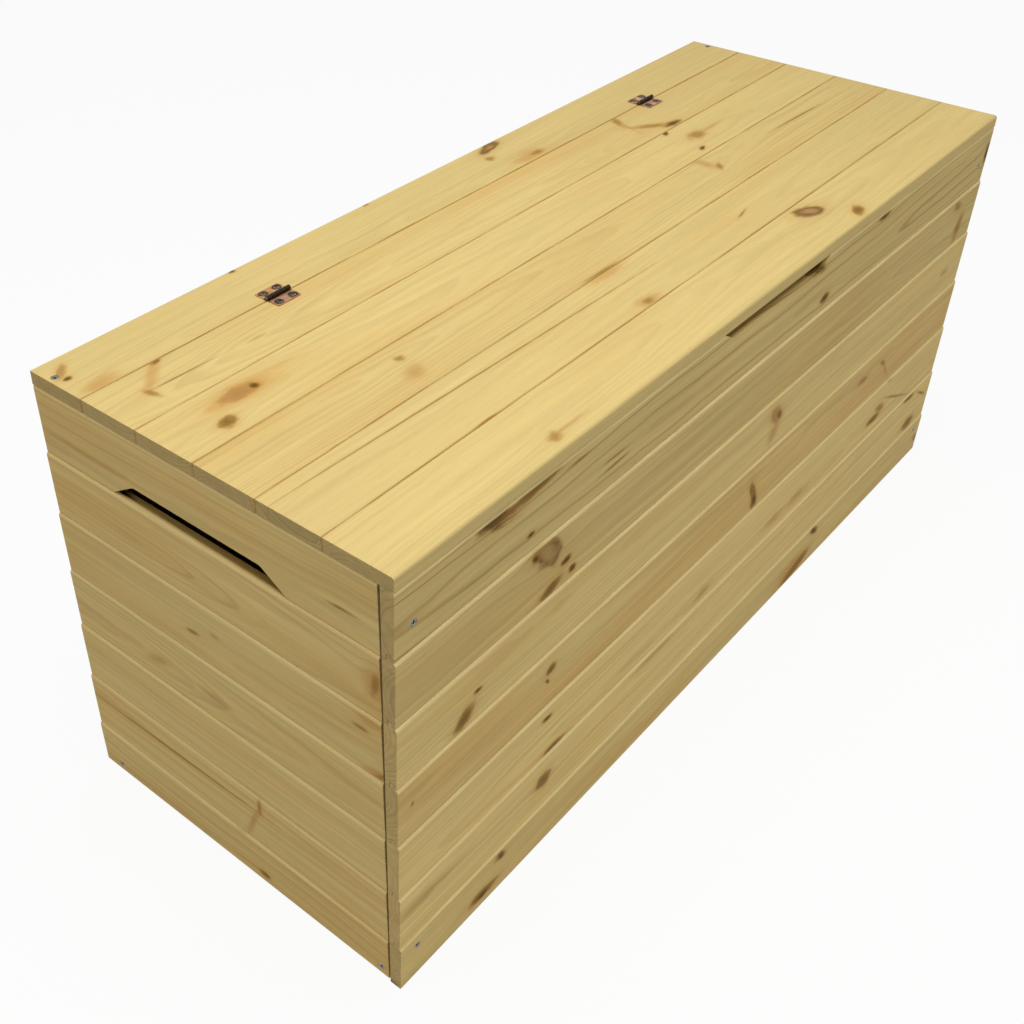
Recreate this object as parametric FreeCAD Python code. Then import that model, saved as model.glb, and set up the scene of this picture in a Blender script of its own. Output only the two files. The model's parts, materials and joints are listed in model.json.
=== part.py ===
import FreeCAD, Part
import math
import os

# A long pine storage chest: tongue-and-groove walls and floor, a fixed rail along the rear of the top,
# and a lid that folds back on two butt hinges. X runs along the chest, the front faces -Y, Z is up.
# The origin is at the middle of the footprint, on the ground. All sizes are in millimetres.

# Boards
chest_length = 1100.0
top_board_count = 6
wall_board_count = 7
board_cover = 70.0
board_thickness = 14.0
bottom_board_width = 59.5
tongue_height = 5.0
tongue_thickness = 4.0
tongue_round = 0.8
tongue_clearance = 0.25
seam_gap = 0.2
wall_lap = 1.5
wall_upper_round = 3.0
wall_lower_round = 0.8
top_edge_round = 0.7
lid_front_round = 3.0
corner_gap = 2.5
end_wall_drop = 3.0

# Grip cut-outs: width at the board's edge, width inside, height, rounding of the inner corners, and how far
# the middle lies to the rear or to the right of the wall's middle
hand_hole = {"mouth": 213.0, "inner": 154.0, "height": 19.0, "round": 10.0, "shift": 10.0}
finger_notch = {"mouth": 213.0, "inner": 171.0, "height": 12.0, "round": 8.0, "shift": 15.0}
hand_hole_ledge_drop = 4.3

# Inner frame
post_size = 28.0
post_edge_round = 5.0
post_top_drop = 6.0
bearer_width = 28.0
bearer_height = 20.0
bearer_end_gap = 0.5
floor_edge_gap = 1.0
batten_width = 40.0
batten_height = 18.0
batten_bevel = 8.0
batten_front_setback = 45.0
batten_rear_setback = 14.0
batten_post_clearance = 14.0

# Hinges
hinge_inset = 232.0
hinge_length = 30.0
hinge_open_width = 33.0
leaf_thickness = 1.2
leaf_corner_round = 2.0
knuckle_count = 5
knuckle_radius = 2.4
knuckle_lift = 0.3
knuckle_gap = 0.3
leaf_knuckle_clearance = 0.35
pin_radius = 1.2
pin_running_clearance = 0.05
pin_head_radius = 1.9
pin_head_height = 0.7
hinge_seam_gap = 0.5
hinge_screw_spacing = 18.0
hinge_screw_reach = 11.0

# Screws: head diameter, shank diameter, length. The driver recess is a share of the head's diameter.
case_screw = {"head": 7.6, "shank": 4.0, "length": 32.0}
batten_screw = {"head": 7.0, "shank": 3.5, "length": 26.0}
floor_screw = {"head": 7.0, "shank": 3.5, "length": 26.0}
hinge_screw = {"head": 6.4, "shank": 3.0, "length": 11.0}
recess_reach = 0.28
recess_width = 0.15
recess_depth = 0.2
screw_clearance = 0.1
screw_sink = 0.3
corner_screw_inset = 22.0
corner_screw_drop = 43.5
corner_screw_rise = 43.0
bearer_screw_inset = 26.0
rail_screw_inset = 26.0

# Derived sizes
chest_depth = top_board_count * board_cover
wall_height = (wall_board_count - 1) * board_cover + bottom_board_width
top_level = wall_height + board_thickness
inner_length = chest_length - 2 * board_thickness
inner_depth = chest_depth - 2 * board_thickness
end_board_length = inner_depth + board_thickness - corner_gap
end_board_shift = (board_thickness + corner_gap) / 2
rear_board_length = inner_length - 2 * corner_gap
floor_level = bearer_height + board_thickness
hinge_line = chest_depth / 2 - board_cover
axis_level = top_level + knuckle_radius + knuckle_lift
groove_depth = tongue_height - seam_gap + tongue_clearance
groove_width = tongue_thickness + 2 * tongue_clearance
tongue_middle = board_thickness / 2
cut_margin = board_thickness

vector = FreeCAD.Vector
right, rear, up = vector(1, 0, 0), vector(0, 1, 0), vector(0, 0, 1)
pieces = {}
screw_groups = {}


def outline(corners):
    """Closed wire through (x, y, radius) corners. A radius above zero rounds its corner."""
    starts, ends, arcs = [], [], []
    for index, (x, y, radius) in enumerate(corners):
        here = vector(x, y, 0)
        before = vector(*corners[index - 1][:2], 0)
        after = vector(*corners[(index + 1) % len(corners)][:2], 0)
        if radius <= 0:
            starts.append(here)
            ends.append(here)
            arcs.append(None)
            continue
        back = (before - here).normalize()
        forth = (after - here).normalize()
        half = back.getAngle(forth) / 2
        reach = radius / math.tan(half)
        middle = (back + forth).normalize() * (radius / math.sin(half) - radius)
        starts.append(here + back * reach)
        ends.append(here + forth * reach)
        arcs.append(Part.Arc(starts[-1], here + middle, ends[-1]).toShape())
    edges = []
    for index, arc in enumerate(arcs):
        if arc is not None:
            edges.append(arc)
        following = starts[(index + 1) % len(corners)]
        edges.append(Part.LineSegment(ends[index], following).toShape())
    return Part.Wire(edges)


def prism(corners, depth):
    """Solid with the given outline, centred on its own plane and half the depth to each side."""
    solid = Part.Face(outline(corners)).extrude(vector(0, 0, depth))
    solid.translate(vector(0, 0, -depth / 2))
    return solid


def stand(shape, origin, across, outward):
    """Carry a shape from its drawing axes to the chest: x goes across the board, y to its outer face."""
    along = across.cross(outward)
    turn = FreeCAD.Placement(FreeCAD.Matrix(
        across.x, outward.x, along.x, origin.x,
        across.y, outward.y, along.y, origin.y,
        across.z, outward.z, along.z, origin.z,
        0, 0, 0, 1))
    shape.Placement = turn.multiply(shape.Placement)
    return shape


def board(length, width, tongue, groove, upper_round, lower_round, lap=0.0):
    """Tongue-and-groove board: x from its grooved edge to its tongued edge, y from inner to outer face.

    With a lap the outer face leans out towards the tongue, and the grooved edge is thinner by the lap.
    """
    tongue_in, tongue_out = tongue_middle - tongue_thickness / 2, tongue_middle + tongue_thickness / 2
    groove_in, groove_out = tongue_middle - groove_width / 2, tongue_middle + groove_width / 2
    corners = [(0, 0, 0), (width, 0, 0)]
    if tongue:
        corners += [(width, tongue_in, 0), (width + tongue_height, tongue_in, tongue_round)]
        corners += [(width + tongue_height, tongue_out, tongue_round), (width, tongue_out, 0)]
    corners += [(width, board_thickness, upper_round), (0, board_thickness - lap, lower_round)]
    if groove:
        corners += [(0, groove_out, 0), (groove_depth, groove_out, 0)]
        corners += [(groove_depth, groove_in, 0), (0, groove_in, 0)]
    return prism(corners, length)


def row_top(row, drop=0.0):
    """Level of the upper shoulder of a wall board, row 1 on top. A drop lowers the seams below that."""
    return wall_height - (row - 1) * board_cover - (drop if row > 1 else 0.0)


def row_low(row, drop=0.0):
    """Level of the lower edge of a wall board. The bottom one stands on the ground."""
    return 0.0 if row == wall_board_count else row_top(row + 1, drop) + seam_gap


def lean_back(row, level, drop=0.0):
    """How far a wall's leaning face stands behind its foremost line at a level of the given row."""
    return wall_lap * (row_top(row, drop) - level) / (row_top(row, drop) - row_low(row, drop))


def build_wall(name, length, origin, outward, drop=0.0):
    """Boards edge to edge, tongues up. The top one has lost its tongue, the bottom one is ripped."""
    for row in range(1, wall_board_count + 1):
        low = row_low(row, drop)
        plank = board(length, row_top(row, drop) - low, row > 1, row < wall_board_count,
                      wall_upper_round, wall_lower_round, wall_lap)
        pieces[f"{name}_board_{row}"] = stand(plank, origin + up * low, up, outward)


def grip_cutter(size):
    """Grip template: x along the edge, y into the board from its edge, with rounded inner corners."""
    mouth, inner = size["mouth"] / 2, size["inner"] / 2
    height, corner = size["height"], size["round"]
    return prism([(-mouth, -cut_margin, 0), (mouth, -cut_margin, 0), (mouth, 0, 0),
                  (inner, height, corner), (-inner, height, corner), (-mouth, 0, 0)],
                 board_thickness + 2 * cut_margin)


def cut_hand_hole(name, side):
    """Hand hole in the lower edge of an end wall's top board.

    The tongue of the board below is taken off, and with it a little of the wood behind the front shoulder.
    """
    seam = vector(side * inner_length / 2, hand_hole["shift"], row_top(2, end_wall_drop))
    grip = stand(grip_cutter(hand_hole), seam + right * (side * board_thickness / 2), rear, up)
    pieces[f"{name}_board_1"] = pieces[f"{name}_board_1"].cut(grip)
    reach = tongue_middle + tongue_thickness / 2
    ledge = Part.makeBox(reach, hand_hole["mouth"], hand_hole_ledge_drop + tongue_height + seam_gap)
    ledge.translate(seam + vector(min(0, side * reach), -hand_hole["mouth"] / 2, -hand_hole_ledge_drop))
    pieces[f"{name}_board_2"] = pieces[f"{name}_board_2"].cut(ledge)


def cut_finger_notch():
    """Finger notch in the upper edge of the front wall, under the lid."""
    edge = vector(finger_notch["shift"], (board_thickness - chest_depth) / 2, wall_height)
    grip = stand(grip_cutter(finger_notch), edge, right, -up)
    pieces["front_board_1"] = pieces["front_board_1"].cut(grip)


def build_posts():
    """Square posts in the inner corners, standing on the floor and stopping short of the lid."""
    height = wall_height - post_top_drop - floor_level
    for x_name, x_side in (("left", -1), ("right", 1)):
        for y_name, y_side in (("front", -1), ("rear", 1)):
            centre_x = x_side * (inner_length - post_size) / 2
            centre_y = y_side * (inner_depth - post_size) / 2
            half = post_size / 2
            corners = []
            for x, y in ((-half, -half), (half, -half), (half, half), (-half, half)):
                faces_inside = x * x_side < 0 and y * y_side < 0
                corners.append((x, y, post_edge_round if faces_inside else 0))
            post = prism(corners, height)
            post.translate(vector(centre_x, centre_y, floor_level + height / 2))
            pieces[f"{y_name}_{x_name}_post"] = post


def bearer_centres():
    """Bearers lie against both end walls and across the middle."""
    end = (inner_length - bearer_width) / 2
    return {"left": -end, "middle": 0.0, "right": end}


def build_floor():
    """Bearers on the ground between front and rear, and boards along the chest on top of them."""
    for name, x in bearer_centres().items():
        bearer = Part.makeBox(bearer_width, inner_depth - 2 * bearer_end_gap, bearer_height)
        bearer.translate(vector(x - bearer_width / 2, -inner_depth / 2 + bearer_end_gap, 0))
        pieces[f"{name}_bearer"] = bearer
    front_edge = -inner_depth / 2 + floor_edge_gap
    floor_width = inner_depth - 2 * floor_edge_gap
    floor_length = inner_length - 2 * floor_edge_gap
    count = math.ceil(floor_width / board_cover)
    for row in range(1, count + 1):
        start = (row - 1) * board_cover + (seam_gap if row > 1 else 0)
        end = min(row * board_cover, floor_width)
        plank = board(floor_length, end - start, row < count, row > 1, top_edge_round, top_edge_round)
        name = f"floor_board_{row}"
        pieces[name] = stand(plank, vector(0, front_edge + start, bearer_height), rear, up)
        for bearer_name, x in bearer_centres().items():
            place = vector(x, front_edge + (start + end) / 2, floor_level)
            drive("floor_screws", [name, f"{bearer_name}_bearer"], floor_screw, place, -up)


def lid_row_edges(row):
    """Front and rear edge of a board of the top, counted from the rear. Row 1 is the fixed rail."""
    rear_edge = chest_depth / 2 - (row - 1) * board_cover
    front_edge = rear_edge - board_cover
    if row == 1:
        front_edge += hinge_seam_gap / 2
    elif row < top_board_count:
        front_edge += seam_gap
    if row == 2:
        rear_edge -= hinge_seam_gap / 2
    return front_edge, rear_edge


def build_top():
    """Hinge rail fixed along the rear, then the lid boards, each tongued into the one behind it."""
    for row in range(1, top_board_count + 1):
        front_edge, rear_edge = lid_row_edges(row)
        front_round = lid_front_round if row == top_board_count else top_edge_round
        plank = board(chest_length, rear_edge - front_edge, row > 2, 1 < row < top_board_count,
                      top_edge_round, front_round)
        name = "hinge_rail" if row == 1 else f"lid_board_{row - 1}"
        pieces[name] = stand(plank, vector(0, front_edge, wall_height), rear, up)


def build_battens():
    """Cross battens under the lid, with bevelled ends that swing clear of the front wall."""
    front_end = -chest_depth / 2 + batten_front_setback
    rear_end = hinge_line - batten_rear_setback
    end = inner_length / 2 - post_size - batten_post_clearance - batten_width / 2
    for name, x in (("left", -end), ("middle", 0.0), ("right", end)):
        corners = [(front_end, 0, 0), (front_end, batten_bevel - batten_height, 0),
                   (front_end + batten_bevel, -batten_height, 0),
                   (rear_end - batten_bevel, -batten_height, 0),
                   (rear_end, batten_bevel - batten_height, 0), (rear_end, 0, 0)]
        batten = prism(corners, batten_width)
        pieces[f"{name}_lid_batten"] = stand(batten, vector(x, 0, wall_height), rear, up)
        for row in range(2, top_board_count + 1):
            front_edge, rear_edge = lid_row_edges(row)
            front_limit = max(front_edge, front_end + batten_bevel)
            rear_limit = min(rear_edge, rear_end - batten_bevel)
            place = vector(x, (front_limit + rear_limit) / 2, wall_height - batten_height)
            drive("batten_screws", [f"{name}_lid_batten", f"lid_board_{row - 1}"], batten_screw, place, up)


def screw(size, clearance, open_top):
    """Countersunk blank along -Z, its head at the origin. A hole is swollen by a clearance and open above."""
    head, shank = size["head"] / 2 + clearance, size["shank"] / 2 + clearance
    head_height = (size["head"] - size["shank"]) / 2
    tip_start = size["length"] - size["shank"]
    side = [vector(head, 0, 0), vector(shank, 0, -head_height), vector(shank, 0, -tip_start)]
    tip = vector(0, 0, -size["length"] - clearance)
    middle = vector(0, 0, open_top)
    rim = [vector(head, 0, open_top)] if open_top > 0 else []
    profile = Part.makePolygon([middle] + rim + side + [tip, middle])
    return Part.Face(profile).revolve(vector(0, 0, 0), up, 360)


def cross_recess(size):
    """Two crossed slots in the head of a screw, for the driver."""
    reach = recess_reach * size["head"]
    width = recess_width * size["head"]
    depth = recess_depth * size["head"]
    slot = Part.makeBox(2 * reach, width, 2 * depth, vector(-reach, -width / 2, -depth))
    crossing = Part.makeBox(width, 2 * reach, 2 * depth, vector(-width / 2, -reach, -depth))
    return slot.fuse(crossing)


def drive(group, names, size, point, direction):
    """Sink a screw through the named pieces: bore its hole in each one and add the screw to its group."""
    place = FreeCAD.Placement(point + direction * screw_sink, FreeCAD.Rotation(-up, direction))
    hole = screw(size, screw_clearance, 2 * screw_sink)
    hole.Placement = place
    for name in names:
        pieces[name] = pieces[name].cut(hole)
    body = screw(size, 0.0, 0.0).cut(cross_recess(size))
    body.Placement = place
    screw_groups.setdefault(group, []).append(body)


def drive_case_screws():
    """Corner screws into the posts, end screws into the bearers, and rail screws into the end walls."""
    bottom = wall_board_count
    front_reach = chest_length / 2 - corner_screw_inset
    rear_reach = (inner_length - post_size) / 2
    for x_name, x_side in (("left", -1), ("right", 1)):
        for y_name, y_side, reach in (("front", -1, front_reach), ("rear", 1, rear_reach)):
            inward = vector(0, -y_side, 0)
            for row, level in ((1, wall_height - corner_screw_drop), (bottom, corner_screw_rise)):
                face = y_side * (chest_depth / 2 - lean_back(row, level))
                drive("case_screws", [f"{y_name}_board_{row}", f"{y_name}_{x_name}_post"], case_screw,
                      vector(x_side * reach, face, level), inward)
            y = y_side * (chest_depth / 2 - bearer_screw_inset)
            level = bearer_height / 2
            face = x_side * (chest_length / 2 - lean_back(bottom, level, end_wall_drop))
            drive("case_screws", [f"{x_name}_board_{bottom}", f"{x_name}_bearer"], case_screw,
                  vector(face, y, level), vector(-x_side, 0, 0))
        over_wall = x_side * (chest_length - board_thickness) / 2
        drive("case_screws", ["hinge_rail", f"{x_name}_board_1"], case_screw,
              vector(over_wall, chest_depth / 2 - rail_screw_inset, top_level), -up)


def leaf(centre_x, side, slots):
    """One hinge leaf: a flat plate with countersunk holes and rolled knuckles in the given slots."""
    half = hinge_length / 2
    reach = hinge_open_width / 2
    start = knuckle_radius + leaf_knuckle_clearance
    axis_height = axis_level - top_level
    plate = prism([(-half, start, 0), (half, start, 0), (half, reach, leaf_corner_round),
                   (-half, reach, leaf_corner_round)], leaf_thickness)
    plate.translate(vector(0, 0, leaf_thickness / 2))
    slot_length = hinge_length / knuckle_count
    for slot in slots:
        slot_start = -half + slot * slot_length + (knuckle_gap / 2 if slot > 0 else 0)
        slot_end = -half + (slot + 1) * slot_length - (knuckle_gap / 2 if slot < knuckle_count - 1 else 0)
        width = slot_end - slot_start
        tab = Part.makeBox(width, start, leaf_thickness, vector(slot_start, 0, 0))
        barrel = Part.makeCylinder(knuckle_radius, width, vector(slot_start, 0, axis_height), right)
        plate = plate.fuse([tab, barrel])
    bore_radius = pin_radius + pin_running_clearance
    bore = Part.makeCylinder(bore_radius, hinge_length, vector(-half, 0, axis_height), right)
    plate = plate.cut(bore).removeSplitter()
    if side < 0:
        plate.rotate(vector(0, 0, 0), up, 180)
    plate.translate(vector(centre_x, hinge_line, top_level))
    return plate


def pin(centre_x):
    """Hinge pin with a peened head at each end."""
    half = hinge_length / 2
    end = half + pin_head_height
    peen = pin_head_height / 2
    profile = outline([(-end, 0, 0), (end, 0, 0), (end, pin_head_radius, peen), (half, pin_head_radius, 0),
                       (half, pin_radius, 0), (-half, pin_radius, 0), (-half, pin_head_radius, 0),
                       (-end, pin_head_radius, peen)])
    solid = Part.Face(profile).revolve(vector(0, 0, 0), right, 360)
    solid.translate(vector(centre_x, hinge_line, axis_level))
    return solid


def build_hinges():
    """Two butt hinges laid on the top: the rail leaves keep the outer knuckles and the pins."""
    pins = []
    for name, x_side in (("left", -1), ("right", 1)):
        centre_x = x_side * (chest_length / 2 - hinge_inset)
        for part, side, slots, wood in (("rail", 1, range(0, knuckle_count, 2), "hinge_rail"),
                                        ("lid", -1, range(1, knuckle_count, 2), "lid_board_1")):
            leaf_name = f"{name}_hinge_{part}_leaf"
            pieces[leaf_name] = leaf(centre_x, side, slots)
            for screw_side in (-1, 1):
                place = vector(centre_x + screw_side * hinge_screw_spacing / 2,
                               hinge_line + side * hinge_screw_reach, top_level + leaf_thickness)
                drive(f"hinge_{part}_screws", [leaf_name, wood], hinge_screw, place, -up)
        pins.append(pin(centre_x))
    pieces["hinge_pins"] = Part.makeCompound(pins)


def build():
    """Every piece of the chest. The front wall laps the end walls, and they run past the rear wall's ends."""
    build_wall("front", chest_length, vector(0, -inner_depth / 2, 0), -rear)
    build_wall("rear", rear_board_length, vector(0, inner_depth / 2, 0), rear)
    build_wall("left", end_board_length, vector(-inner_length / 2, end_board_shift, 0), -right, end_wall_drop)
    build_wall("right", end_board_length, vector(inner_length / 2, end_board_shift, 0), right, end_wall_drop)
    cut_hand_hole("left", -1)
    cut_hand_hole("right", 1)
    cut_finger_notch()
    build_posts()
    build_floor()
    build_top()
    build_battens()
    build_hinges()
    drive_case_screws()
    for group, screws in screw_groups.items():
        pieces[group] = Part.makeCompound(screws)


def write():
    """One STEP file for each piece or group of like fasteners."""
    os.makedirs("parts", exist_ok=True)
    for name, shape in pieces.items():
        solids = shape.Solids
        whole = solids[0] if len(solids) == 1 else Part.makeCompound(solids)
        whole.exportStep(f"parts/{name}.step")
        print(f"{name}: {len(solids)} solid(s), {whole.Volume / 1000:.1f} cm3, valid {whole.isValid()}")
    box = Part.makeCompound(list(pieces.values())).BoundBox
    print(f"{len(pieces)} nodes, {box.XLength:.1f} x {box.YLength:.1f} x {box.ZLength:.1f} mm")


build()
write()
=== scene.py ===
import json
import math
import bpy
import numpy as np
from mathutils import Matrix, Vector

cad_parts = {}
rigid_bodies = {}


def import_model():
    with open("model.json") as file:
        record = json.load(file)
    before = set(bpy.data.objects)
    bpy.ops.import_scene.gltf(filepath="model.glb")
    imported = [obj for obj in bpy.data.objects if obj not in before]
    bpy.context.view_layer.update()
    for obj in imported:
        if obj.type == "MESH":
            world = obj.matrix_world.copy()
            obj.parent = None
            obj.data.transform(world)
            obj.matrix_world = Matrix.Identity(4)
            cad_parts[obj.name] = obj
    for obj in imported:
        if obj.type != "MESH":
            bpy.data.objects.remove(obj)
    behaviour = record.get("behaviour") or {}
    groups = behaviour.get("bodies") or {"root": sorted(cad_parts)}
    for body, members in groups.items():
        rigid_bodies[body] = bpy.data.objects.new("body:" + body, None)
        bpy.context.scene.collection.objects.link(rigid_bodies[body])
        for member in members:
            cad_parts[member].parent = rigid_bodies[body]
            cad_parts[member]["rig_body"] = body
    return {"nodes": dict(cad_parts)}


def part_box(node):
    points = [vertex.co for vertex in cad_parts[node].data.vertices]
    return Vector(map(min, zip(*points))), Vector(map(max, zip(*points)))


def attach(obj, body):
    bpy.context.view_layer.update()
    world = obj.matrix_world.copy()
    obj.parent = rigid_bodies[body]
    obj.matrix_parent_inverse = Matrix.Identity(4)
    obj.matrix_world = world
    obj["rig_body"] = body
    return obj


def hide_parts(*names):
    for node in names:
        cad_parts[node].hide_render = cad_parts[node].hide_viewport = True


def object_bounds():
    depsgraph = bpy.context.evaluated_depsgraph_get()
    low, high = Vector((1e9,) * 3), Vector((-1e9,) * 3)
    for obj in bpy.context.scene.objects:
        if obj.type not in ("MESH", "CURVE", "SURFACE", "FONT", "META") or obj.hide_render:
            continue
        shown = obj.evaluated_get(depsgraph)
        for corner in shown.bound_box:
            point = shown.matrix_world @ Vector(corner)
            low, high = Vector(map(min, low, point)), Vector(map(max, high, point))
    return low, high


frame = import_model()
cadBounds = [list(corner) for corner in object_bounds()]
mm = 0.001
perMetre = 1000  # millimetres
print("frame loaded:", len(frame["nodes"]), "nodes")


# Small helpers for shader nodes. A value is a number, a tuple or the output of another node.
def feed(tree, socket, value):
    if isinstance(value, bpy.types.NodeSocket):
        tree.links.new(value, socket)
    else:
        socket.default_value = value


def addNode(tree, kind, values=None, **settings):
    node = tree.nodes.new(kind)
    for key, value in settings.items():
        setattr(node, key, value)
    for key, value in (values or {}).items():
        feed(tree, node.inputs[key], value)
    return node


def calc(tree, operation, *values):
    node = addNode(tree, "ShaderNodeMath", operation=operation)
    for socket, value in zip(node.inputs, values):
        feed(tree, socket, value)
    return node.outputs[0]


def calcVector(tree, operation, *values):
    node = addNode(tree, "ShaderNodeVectorMath", operation=operation)
    for socket, value in zip(node.inputs, values):
        feed(tree, socket, value)
    return node.outputs["Value"] if operation in ("LENGTH", "DOT_PRODUCT") else node.outputs["Vector"]


def scaleVector(tree, vector, factor):
    node = addNode(tree, "ShaderNodeVectorMath", {"Vector": vector, "Scale": factor}, operation="SCALE")
    return node.outputs["Vector"]


def remap(tree, value, fromLow, fromHigh, toLow=0.0, toHigh=1.0):
    node = addNode(tree, "ShaderNodeMapRange", interpolation_type="SMOOTHSTEP")
    for key, number in zip(("Value", "From Min", "From Max", "To Min", "To Max"),
                           (value, fromLow, fromHigh, toLow, toHigh)):
        feed(tree, node.inputs[key], number)
    return node.outputs["Result"]


def blendColour(tree, factor, low, high):
    node = addNode(tree, "ShaderNodeMix", data_type="RGBA", clamp_factor=True)
    for index, value in ((0, factor), (6, low), (7, high)):
        feed(tree, node.inputs[index], value)
    return node.outputs[2]


def noise(tree, vector, detail=2.0, colour=False):
    node = addNode(tree, "ShaderNodeTexNoise", {"Vector": vector, "Scale": 1.0, "Detail": detail})
    return node.outputs[1 if colour else 0]


def newGroup(name, inputs, outputs):
    tree = bpy.data.node_groups.new(name, "ShaderNodeTree")
    for way, sockets in (("INPUT", inputs), ("OUTPUT", outputs)):
        for label, kind in sockets.items():
            tree.interface.new_socket(name=label, in_out=way, socket_type="NodeSocket" + kind)
    return tree, tree.nodes.new("NodeGroupInput").outputs, tree.nodes.new("NodeGroupOutput").inputs


def useGroup(tree, group, values):
    node = addNode(tree, "ShaderNodeGroup", node_tree=group)
    for key, value in values.items():
        feed(tree, node.inputs[key], value)
    return node.outputs


# Pine. Every pattern reads a point in board millimetres: x along the grain, y across the face, z out of it.
pine = {
    "early": (0.755, 0.575, 0.228, 1.0),
    "earlyWarm": (0.730, 0.490, 0.170, 1.0),
    "late": (0.480, 0.290, 0.080, 1.0),
    "endEarly": (0.550, 0.400, 0.160, 1.0),
    "endLate": (0.440, 0.300, 0.115, 1.0),
    "halo": (0.600, 0.290, 0.060, 1.0),
    "rim": (0.100, 0.050, 0.010, 1.0),
    "seam": (0.420, 0.215, 0.045, 1.0),
    # Painted highlight: colour of the lighter band along the rounded upper edge of wall boards.
    "paintedHighlight": (0.960, 0.780, 0.370, 1.0),
    # Painted shade: colour of the darkening deep in cuts and recesses.
    "recessShade": (0.030, 0.020, 0.009, 1.0),
    "specular": 0.08,
    "roughness": (0.52, 0.70),
    "bumpStrength": 0.25,
    "bumpDistance": 0.3 * mm,
}

# What a knot or mark looks like: the colours of its core and its edge, how strongly its parts show, how soft
# and how ragged it is, and how far it draws the grain round itself.
markKinds = {
    "knot": {"core": (0.195, 0.092, 0.010, 1), "edge": (0.310, 0.160, 0.026, 1),
             "strength": 0.85, "rim": 0.30, "halo": 0.40, "soft": 0.40, "ragged": 0.7, "bend": 0.9},
    "ring": {"core": (0.440, 0.220, 0.088, 1), "edge": (0.175, 0.090, 0.010, 1),
             "strength": 0.92, "rim": 0.45, "halo": 0.40, "soft": 0.35, "ragged": 0.6, "bend": 0.9},
    "faded": {"core": (0.420, 0.265, 0.095, 1), "edge": (0.290, 0.155, 0.036, 1),
              "strength": 0.80, "rim": 0.70, "halo": 0.20, "soft": 0.30, "ragged": 0.8, "bend": 0.9},
    "pink": {"core": (0.380, 0.200, 0.062, 1), "edge": (0.460, 0.235, 0.062, 1),
             "strength": 0.70, "rim": 0.20, "halo": 0.40, "soft": 0.45, "ragged": 0.8, "bend": 0.9},
    "brown": {"core": (0.340, 0.190, 0.042, 1), "edge": (0.430, 0.245, 0.060, 1),
              "strength": 0.80, "rim": 0.00, "halo": 0.25, "soft": 0.55, "ragged": 0.8, "bend": 0.7},
    "dark": {"core": (0.095, 0.046, 0.003, 1), "edge": (0.215, 0.115, 0.018, 1),
             "strength": 0.92, "rim": 0.10, "halo": 0.35, "soft": 0.50, "ragged": 0.8, "bend": 0.8},
    "pale": {"core": (0.430, 0.250, 0.080, 1), "edge": (0.500, 0.295, 0.095, 1),
             "strength": 0.45, "rim": 0.00, "halo": 0.25, "soft": 0.60, "ragged": 1.0, "bend": 0.5},
    "orange": {"core": (0.540, 0.265, 0.060, 1), "edge": (0.580, 0.290, 0.068, 1),
               "strength": 0.42, "rim": 0.00, "halo": 0.22, "soft": 0.65, "ragged": 1.0, "bend": 0.4},
    "streak": {"core": (0.215, 0.110, 0.020, 1), "edge": (0.310, 0.170, 0.036, 1),
               "strength": 0.65, "rim": 0.00, "halo": 0.15, "soft": 0.60, "ragged": 1.0, "bend": 0.0},
    "smear": {"core": (0.070, 0.034, 0.003, 1), "edge": (0.180, 0.095, 0.016, 1),
              "strength": 0.92, "rim": 0.15, "halo": 0.30, "soft": 0.50, "ragged": 1.8, "bend": 0.5},
}


# Shape of every mark, in units of its own half length and half width: how far its outline wobbles, how far
# it bends the grain, and the middle and width of its halo and its rim. The heart goes from core to edge, and
# the rim breaks up, between two values.
markForm = {
    "wobbleSeed": (0.37, 0.37, 0.37), "wobble": 0.8, "bendReach": (2.6, 1.5, 1.0), "halo": (0.5, 1.1),
    "heart": (0.1, 0.9), "rim": (0.9, 0.2), "rimBreaks": (0.42, 0.60),
}


# Distance from a mark, wobbled by noise, and the point with the grain drawn away from the mark:
# across = across - offset * bend * exp(-reach squared).
def buildMarkBend():
    tree, given, result = newGroup(
        "markBend",
        {"Point": "Vector", "Bent": "Vector", "Centre": "Vector", "Half": "Vector", "Turn": "Float",
         "Bend": "Float"},
        {"Bent": "Vector", "Distance": "Float"})
    offset = calcVector(tree, "SUBTRACT", given["Point"], given["Centre"])
    flat = calcVector(tree, "MULTIPLY", offset, (1, 1, 0))
    turned = addNode(tree, "ShaderNodeVectorRotate", {"Vector": flat, "Angle": given["Turn"]},
                     rotation_type="Z_AXIS", invert=True).outputs[0]
    ellipse = calcVector(tree, "DIVIDE", turned, given["Half"])
    spot = calcVector(tree, "MULTIPLY_ADD", given["Centre"], markForm["wobbleSeed"], ellipse)
    wobble = calc(tree, "MULTIPLY", calc(tree, "SUBTRACT", noise(tree, spot, 1), 0.5), markForm["wobble"])
    distance = calc(tree, "ADD", calcVector(tree, "LENGTH", ellipse), wobble)
    size = calcVector(tree, "MULTIPLY", given["Half"], markForm["bendReach"])
    field = calcVector(tree, "DIVIDE", flat, size)
    reach = calcVector(tree, "DOT_PRODUCT", field, field)
    pull = calc(tree, "MULTIPLY", calc(tree, "EXPONENT", calc(tree, "MULTIPLY", reach, -1.0)), given["Bend"])
    drawn = scaleVector(tree, calcVector(tree, "MULTIPLY", flat, (0, 1, 0)), pull)
    feed(tree, result["Bent"], calcVector(tree, "SUBTRACT", given["Bent"], drawn))
    feed(tree, result["Distance"], distance)
    return tree


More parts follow.
